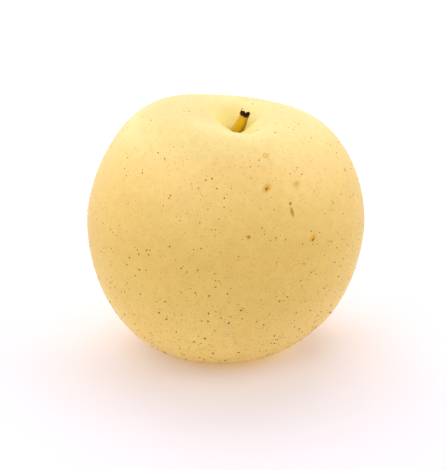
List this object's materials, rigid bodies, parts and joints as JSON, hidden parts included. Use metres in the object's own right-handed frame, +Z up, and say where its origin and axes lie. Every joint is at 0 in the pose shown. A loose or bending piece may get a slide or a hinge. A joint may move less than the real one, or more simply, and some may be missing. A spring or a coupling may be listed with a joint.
{
  "type": "asian pear",
  "caption": "Round golden pear with dotted skin, a short clipped stem leaning in its cavity and a shallow calyx basin, resting upright on a small flat ring.",
  "frame": {"origin": "on the ground, under the middle of the fruit's outline box as it rests", "axes": "+Z up, from the calyx end to the stem end; +X is the side that the stem leans to; -Y is the front, where the cavity's rim dips"},
  "size_m": [0.0916, 0.0884, 0.0849],
  "materials": {
    "pear_skin": "satin",
    "dry_stem": "matte"
  },
  "bodies": {
    "root": {"fruit": "pear_skin", "stem": "dry_stem"}
  },
  "joints": []
}
